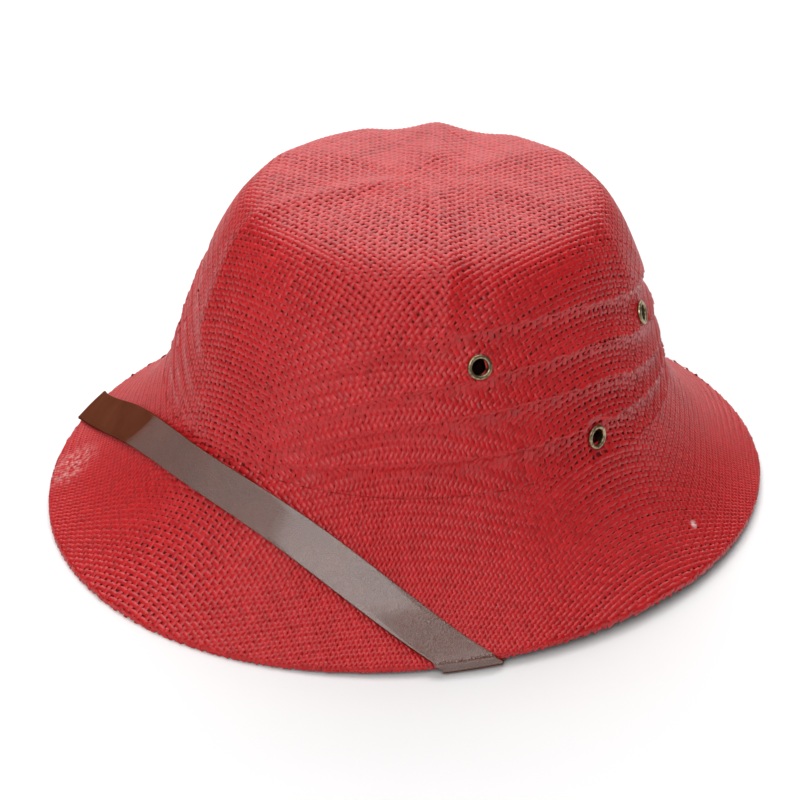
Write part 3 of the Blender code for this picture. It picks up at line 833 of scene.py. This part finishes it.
def strap_half_points():
    line = middle_line()
    offsets = [STRAP_WIDTH * (lane / STRAP_LANES - 0.5) for lane in range(STRAP_LANES + 1)]
    lanes = [strap_lane(line, offset) for offset in offsets]
    outward_lanes = [lane[HEADING_POINTS:] for lane in lanes]
    rim_angles = [read_lane(lane, -SMALL_STEP, 1) for lane in outward_lanes]
    rows = []
    for station in range(STRAP_FRONT_STATIONS + 1):
        share = station / STRAP_FRONT_STATIONS
        row = []
        for lane, rim_angle in zip(lanes, rim_angles):
            angle = rim_angle * share
            row.append(strap_surface(angle, read_lane(lane, angle, 0)))
        rows.append(row)
    turn_end = 2.0 * STRAP_GAP + RIM_DROP + BRIM_WALL
    past_rims = [turn_end * step / STRAP_TURN_STATIONS for step in range(STRAP_TURN_STATIONS + 1)]
    full = track_length(line[-1][0]) - STRAP_END_MARGIN
    flat_start = past_rims[-1]
    for station in range(1, STRAP_UNDER_STATIONS + 1):
        past_rims.append(flat_start + (full - flat_start) * station / STRAP_UNDER_STATIONS)
    for past_rim in past_rims:
        rows.append([strap_surface(read_lane(lane, past_rim, 1), past_rim) for lane in outward_lanes])
    return rows


def strap_mesh():
    """Both halves of the strap as one band, with its length and width as coordinates."""
    half = np.array([[tuple(point) for point in row] for row in strap_half_points()])
    other = half[:0:-1] * np.array((-1.0, 1.0, 1.0))
    band = np.concatenate((other, half))
    middle = band[:, STRAP_LANES // 2]
    lengths = meridian_lengths(middle)
    stations, lanes = band.shape[:2]
    index = np.arange(stations * lanes).reshape(stations, lanes)
    quads = np.stack((index[:-1, :-1], index[1:, :-1], index[1:, 1:], index[:-1, 1:]), -1)
    quads = quads.reshape(-1, 4)[:, ::-1]
    mesh = mesh_from_arrays("strap_leather", band.reshape(-1, 3), quads)
    across = np.broadcast_to(np.linspace(0.0, STRAP_WIDTH, lanes)[None, :], (stations, lanes))
    along = np.broadcast_to(lengths[:, None], (stations, lanes))
    set_uv(mesh, np.stack((across, along), -1).reshape(-1, 2) * 1000.0)
    return mesh


# Materials

class Nodes:
    """Short names for building one material's nodes."""

    def __init__(self, name):
        self.material = bpy.data.materials.new(name)
        self.material.use_nodes = True
        self.tree = self.material.node_tree
        self.shader = self.tree.nodes["Principled BSDF"]

    def link(self, value, socket):
        if isinstance(value, bpy.types.NodeSocket):
            self.tree.links.new(value, socket)
        elif isinstance(value, tuple) and len(value) == 3 and len(socket.default_value) == 4:
            socket.default_value = (*value, 1.0)
        else:
            socket.default_value = value

    def math(self, operation, first, second=0.0):
        node = self.tree.nodes.new("ShaderNodeMath")
        node.operation = operation
        self.link(first, node.inputs[0])
        self.link(second, node.inputs[1])
        return node.outputs[0]

    def ramp(self, value, *stops):
        node = self.tree.nodes.new("ShaderNodeValToRGB")
        elements = node.color_ramp.elements
        while len(elements) < len(stops):
            elements.new(0.5)
        for element, (position, colour) in zip(elements, stops):
            element.position = position
            element.color = (*colour, 1.0)
        self.link(value, node.inputs[0])
        return node.outputs[0]

    def mix(self, factor, first, second):
        node = self.tree.nodes.new("ShaderNodeMix")
        node.data_type = "RGBA"
        self.link(factor, node.inputs[0])
        self.link(first, node.inputs[6])
        self.link(second, node.inputs[7])
        return node.outputs[2]

    def map_range(self, value, low, high, to_low, to_high):
        node = self.tree.nodes.new("ShaderNodeMapRange")
        for item, socket in zip((value, low, high, to_low, to_high), node.inputs):
            self.link(item, socket)
        return node.outputs[0]

    def attribute(self, name):
        node = self.tree.nodes.new("ShaderNodeAttribute")
        node.attribute_name = name
        return node

    def coordinates(self, output, scale=(1.0, 1.0, 1.0)):
        source = self.tree.nodes.new("ShaderNodeTexCoord")
        mapping = self.tree.nodes.new("ShaderNodeMapping")
        mapping.inputs["Scale"].default_value = scale
        self.tree.links.new(source.outputs[output], mapping.inputs[0])
        return mapping.outputs[0]

    def noise(self, vector, scale, detail=2.0, roughness=0.5):
        node = self.tree.nodes.new("ShaderNodeTexNoise")
        self.link(vector, node.inputs["Vector"])
        node.inputs["Scale"].default_value = scale
        node.inputs["Detail"].default_value = detail
        node.inputs["Roughness"].default_value = roughness
        return node.outputs[0]

    def voronoi(self, vector, scale):
        node = self.tree.nodes.new("ShaderNodeTexVoronoi")
        self.link(vector, node.inputs["Vector"])
        node.inputs["Scale"].default_value = scale
        return node.outputs["Distance"]

    def near(self, vector, point, radius):
        """1 within a third of the radius of a point, falling to 0 at the radius."""
        node = self.tree.nodes.new("ShaderNodeVectorMath")
        node.operation = "DISTANCE"
        self.link(vector, node.inputs[0])
        node.inputs[1].default_value = point
        return self.map_range(node.outputs["Value"], radius / 3.0, radius, 1.0, 0.0)

    def bump(self, height, distance, strength=1.0):
        node = self.tree.nodes.new("ShaderNodeBump")
        node.inputs["Strength"].default_value = strength
        node.inputs["Distance"].default_value = distance
        self.link(height, node.inputs["Height"])
        self.tree.links.new(node.outputs[0], self.shader.inputs["Normal"])

    def set(self, **values):
        for name, value in values.items():
            self.link(value, self.shader.inputs[name.replace("_", " ")])


# A scuffed patch on the left of the brim's front and a pale speck on its side
SCUFF_PLACE = (-0.0775, -0.1153, 0.0081)
SCUFF_RADIUS = 0.015
SPECK_PLACE = (0.1130, 0.0455, 0.0151)
SPECK_RADIUS = 0.0022
PALE_STRAW = (0.84, 0.46, 0.44)


def straw_material():
    """Dyed paper straw: streaks along each straw, each straw and float a little lighter or darker."""
    n = Nodes("red_straw")
    tone = n.attribute("tone").outputs["Fac"]
    streak = n.noise(n.coordinates("UV", (9.0, 0.7, 1.0)), 1.0, 3.0, 0.6)
    place = n.coordinates("Object")
    patches = n.noise(place, 28.0, 3.0)
    lightness = n.math("ADD", n.math("MULTIPLY", tone, 0.62), n.math("MULTIPLY", streak, 0.38))
    colour = n.ramp(
        lightness,
        (0.25, (0.290, 0.0030, 0.0042)),
        (0.50, (0.500, 0.0060, 0.0085)),
        (0.80, (0.690, 0.0190, 0.0230)),
    )
    colour = n.mix(n.map_range(patches, 0.40, 0.62, 0.0, 0.12), colour, (0.80, 0.050, 0.056))
    wear = n.map_range(n.noise(place, 420.0, 3.0, 0.6), 0.44, 0.62, 0.0, 0.6)
    scuff = n.math("MULTIPLY", n.near(place, SCUFF_PLACE, SCUFF_RADIUS), wear)
    colour = n.mix(scuff, colour, PALE_STRAW)
    colour = n.mix(n.near(place, SPECK_PLACE, SPECK_RADIUS), colour, PALE_STRAW)
    n.set(Base_Color=colour, Roughness=n.map_range(streak, 0.3, 0.7, 0.26, 0.40))
    n.shader.inputs["Specular IOR Level"].default_value = 0.45
    n.bump(streak, 0.00012, 0.6)
    return n.material


def gap_shade_material():
    """Painted shade: the backing's dark colour stands in for the shaded underside of the straws, seen
    between them.
    """
    n = Nodes("straw_gap_shade")
    patches = n.noise(n.coordinates("Object"), 900.0, 2.0)
    colour = n.ramp(patches, (0.3, (0.130, 0.0016, 0.0020)), (0.7, (0.220, 0.0030, 0.0040)))
    n.set(Base_Color=colour, Roughness=0.8)
    return n.material


def inside_material():
    """Inner face of the cloth, with its plain weave; painted shade darkens each straw towards its edges
    and fills the gaps between the straws.
    """
    n = Nodes("straw_inside")
    split = n.tree.nodes.new("ShaderNodeSeparateXYZ")
    n.tree.links.new(n.coordinates("UV"), split.inputs[0])
    u, v = split.outputs[0], split.outputs[1]
    whole_u = n.math("FLOOR", u)
    whole_v = n.math("FLOOR", v)
    odd = n.math("MODULO", n.math("ABSOLUTE", n.math("ADD", whole_u, whole_v)), 2.0)
    across_u = n.math("ABSOLUTE", n.math("SINE", n.math("MULTIPLY", u, pi)))
    across_v = n.math("ABSOLUTE", n.math("SINE", n.math("MULTIPLY", v, pi)))
    bulge_u = n.math("ADD", n.math("MULTIPLY", across_u, 0.6), 0.4)
    bulge_v = n.math("ADD", n.math("MULTIPLY", across_v, 0.6), 0.4)
    over = n.math("MULTIPLY", n.math("MULTIPLY", n.math("POWER", across_u, 0.45), bulge_v), odd)
    under = n.math("MULTIPLY", n.math("POWER", across_v, 0.45), bulge_u)
    chosen = n.math("ADD", over, n.math("MULTIPLY", under, n.math("SUBTRACT", 1.0, odd)))
    streak = n.noise(n.coordinates("UV", (5.0, 5.0, 1.0)), 1.0, 3.0, 0.6)
    light = n.math("ADD", n.math("MULTIPLY", chosen, 0.8), n.math("MULTIPLY", streak, 0.25))
    # The weave pattern is the cloth's own; the nearly black low end of this ramp, at the straws' edges
    # and the gaps between them, is painted shade.
    colour = n.ramp(
        light,
        (0.25, (0.035, 0.0020, 0.0030)),
        (0.55, (0.330, 0.0110, 0.0180)),
        (0.95, (0.560, 0.0260, 0.0360)),
    )
    n.set(Base_Color=colour, Roughness=0.55)
    n.bump(chosen, 0.0005, 0.9)
    return n.material


def leather_material():
    """Smooth brown leather whose gloss is strongest seen straight on."""
    n = Nodes("brown_leather")
    wide = n.coordinates("UV")
    pores = n.voronoi(wide, 2.1)
    fine = n.noise(wide, 4.5, 2.0)
    cloud = n.noise(wide, 0.05, 3.0)
    colour = n.ramp(
        n.math("ADD", n.math("MULTIPLY", cloud, 0.7), n.math("MULTIPLY", fine, 0.3)),
        (0.3, (0.095, 0.0260, 0.0120)),
        (0.7, (0.150, 0.0440, 0.0220)),
    )
    n.set(Base_Color=colour, Roughness=n.map_range(fine, 0.3, 0.7, 0.20, 0.32))
    weight = n.tree.nodes.new("ShaderNodeLayerWeight")
    sheen = n.map_range(weight.outputs["Facing"], 0.22, 0.60, 1.0, 0.0)
    n.link(sheen, n.shader.inputs["Specular IOR Level"])
    n.link(n.math("MULTIPLY", sheen, 0.9), n.shader.inputs["Coat Weight"])
    n.set(IOR=1.65, Coat_Roughness=0.16)
    n.bump(n.math("ADD", pores, n.math("MULTIPLY", fine, 0.4)), 0.00028, 0.9)
    return n.material


def brass_material():
    n = Nodes("aged_brass")
    place = n.coordinates("Object")
    patina = n.noise(place, 900.0, 4.0, 0.6)
    colour = n.ramp(patina, (0.35, (0.13, 0.095, 0.055)), (0.62, (0.46, 0.37, 0.22)))
    n.set(Base_Color=colour, Metallic=1.0, Roughness=n.map_range(patina, 0.3, 0.7, 0.42, 0.24))
    n.bump(patina, 0.00005, 0.4)
    return n.material


# The pieces

straw = straw_material()
gap_shade = gap_shade_material()
inside = inside_material()
leather = leather_material()
brass = brass_material()

CROWN_COLUMNS = 240
BRIM_COLUMNS = 280
CROWN_ROWS = np.linspace(0.004, FOOT_AT - 0.0005, 88)
CROWN_RUNS = np.concatenate(([0.0012], CROWN_ROWS, [FOOT_AT]))
CLOTH_END = EDGE_AT - FINITE_STEP
BRIM_RUNS = np.concatenate((np.linspace(FOOT_AT, CORNER_AT, 40), [CORNER_AT + 0.0009, CLOTH_END]))
CLOTH_START = 0.0006

# The outer face of each backing shell carries the painted shade seen between the straws; its inner face
# carries the inside weave.
crown_shell = add_piece(
    shell_mesh("crown_backing", crown_surface, CROWN_RUNS, CROWN_COLUMNS, True, True),
    ["crown"], [gap_shade, inside],
)
thicken(crown_shell, CROWN_WALL + BACKING_LEVEL)
cut_eyelet_holes(crown_shell)

brim_shell = add_piece(
    shell_mesh(
        "brim_backing", brim_surface, BRIM_RUNS, BRIM_COLUMNS, False, False, (0.0, COLLAR_HEIGHT)
    ),
    ["brim"], [gap_shade, inside],
)
thicken(brim_shell, BRIM_WALL + BACKING_LEVEL)

for number, kind in enumerate(("warp", "weft")):
    seed = WARP_SEED + number
    add_piece(
        thread_mesh("crown_" + kind, number, crown_surface, CLOTH_START, FOOT_AT, True, seed),
        ["crown"], [straw],
    )
    add_piece(
        thread_mesh("brim_" + kind, number, brim_surface, FOOT_AT, CLOTH_END, False, seed),
        ["brim"], [straw],
    )

for name, place in eyelet_places():
    ring_mesh = lathe_mesh(name + "_ring", eyelet_profile(), EYELET_SIDES)
    ring_mesh.transform(place)
    add_piece(ring_mesh, [name], [brass])

strap = add_piece(strap_mesh(), ["chin_strap"], [leather])
solidify = strap.modifiers.new("leather", "SOLIDIFY")
solidify.thickness = STRAP_THICKNESS
solidify.offset = 1.0
solidify.use_even_offset = True
bevel = strap.modifiers.new("edges", "BEVEL")
bevel.width = 0.00035
bevel.segments = 3
bevel.limit_method = "ANGLE"
bevel.angle_limit = radians(60.0)


# Floor, light and camera

IMAGE_PIXELS = 800.0
CAMERA_AZIMUTH = radians(46.07)
CAMERA_ELEVATION = radians(28.61)
CAMERA_DISTANCE = 1.00694
CAMERA_ROLL = radians(3.65)
PIXELS_PER_METRE = 2501.3
TARGET = Vector((0.0, 0.0, 0.060))
TARGET_PIXEL = (420.39, 344.46)
SENSOR = 36.0
FLOOR_HALF_SIZE = 6.0
LIGHT_DISTANCE = 2.2
WORLD_STRENGTH = 0.14

# name, azimuth and elevation in degrees, width, height, power in watts
LIGHTS = (
    ("front", 30.0, 42.0, 1.8, 1.6, 26.0),
    ("left", -100.0, 60.0, 1.6, 1.6, 8.0),
    ("top", -134.0, 76.0, 1.8, 1.8, 25.0),
    ("backdrop", -134.0, 30.0, 2.6, 1.4, 28.0),
)


def direction(azimuth, elevation):
    return Vector((sin(azimuth) * cos(elevation), -cos(azimuth) * cos(elevation), sin(elevation)))


def build_camera():
    towards = direction(CAMERA_AZIMUTH, CAMERA_ELEVATION)
    right = Vector((cos(CAMERA_AZIMUTH), sin(CAMERA_AZIMUTH), 0.0))
    up = towards.cross(right)
    camera_right = right * cos(CAMERA_ROLL) + up * sin(CAMERA_ROLL)
    camera_up = -right * sin(CAMERA_ROLL) + up * cos(CAMERA_ROLL)
    data = bpy.data.cameras.new("camera")
    data.sensor_width = SENSOR
    data.lens = SENSOR * CAMERA_DISTANCE * PIXELS_PER_METRE / IMAGE_PIXELS
    data.shift_x = (IMAGE_PIXELS / 2.0 - TARGET_PIXEL[0]) / IMAGE_PIXELS
    data.shift_y = (TARGET_PIXEL[1] - IMAGE_PIXELS / 2.0) / IMAGE_PIXELS
    camera = bpy.data.objects.new("camera", data)
    bpy.context.scene.collection.objects.link(camera)
    turn = Matrix((camera_right, camera_up, towards)).transposed().to_4x4()
    camera.matrix_world = Matrix.Translation(TARGET + towards * CAMERA_DISTANCE) @ turn
    bpy.context.scene.camera = camera


def add_area_light(name, azimuth, elevation, width, height, power):
    data = bpy.data.lights.new(name, "AREA")
    data.shape = "RECTANGLE"
    data.size = width
    data.size_y = height
    data.energy = power
    light = bpy.data.objects.new(name, data)
    bpy.context.scene.collection.objects.link(light)
    towards = direction(radians(azimuth), radians(elevation))
    light.location = TARGET + towards * LIGHT_DISTANCE
    light.rotation_mode = "QUATERNION"
    light.rotation_quaternion = towards.to_track_quat("Z", "Y")


def build_floor():
    mesh = bpy.data.meshes.new("floor")
    reach = FLOOR_HALF_SIZE
    corners = [(x * reach, y * reach, 0.0) for x, y in ((-1, -1), (1, -1), (1, 1), (-1, 1))]
    mesh.from_pydata(corners, [], [(0, 1, 2, 3)])
    floor = bpy.data.objects.new("floor", mesh)
    bpy.context.scene.collection.objects.link(floor)
    n = Nodes("pale_floor")
    grain = n.noise(n.coordinates("Object"), 3.0, 2.0)
    grey = n.ramp(grain, (0.0, (0.94, 0.94, 0.94)), (1.0, (0.96, 0.96, 0.96)))
    n.set(Base_Color=grey, Roughness=0.9)
    n.shader.inputs["Specular IOR Level"].default_value = 0.1
    mesh.materials.append(n.material)


build_camera()
build_floor()
for light in LIGHTS:
    add_area_light(*light)
world = bpy.data.worlds.new("studio")
world.use_nodes = True
background = world.node_tree.nodes["Background"]
background.inputs[0].default_value = (1.0, 1.0, 1.0, 1.0)
background.inputs[1].default_value = WORLD_STRENGTH
bpy.context.scene.world = world
bpy.context.scene.view_settings.view_transform = "Standard"

bpy.context.view_layer.update()
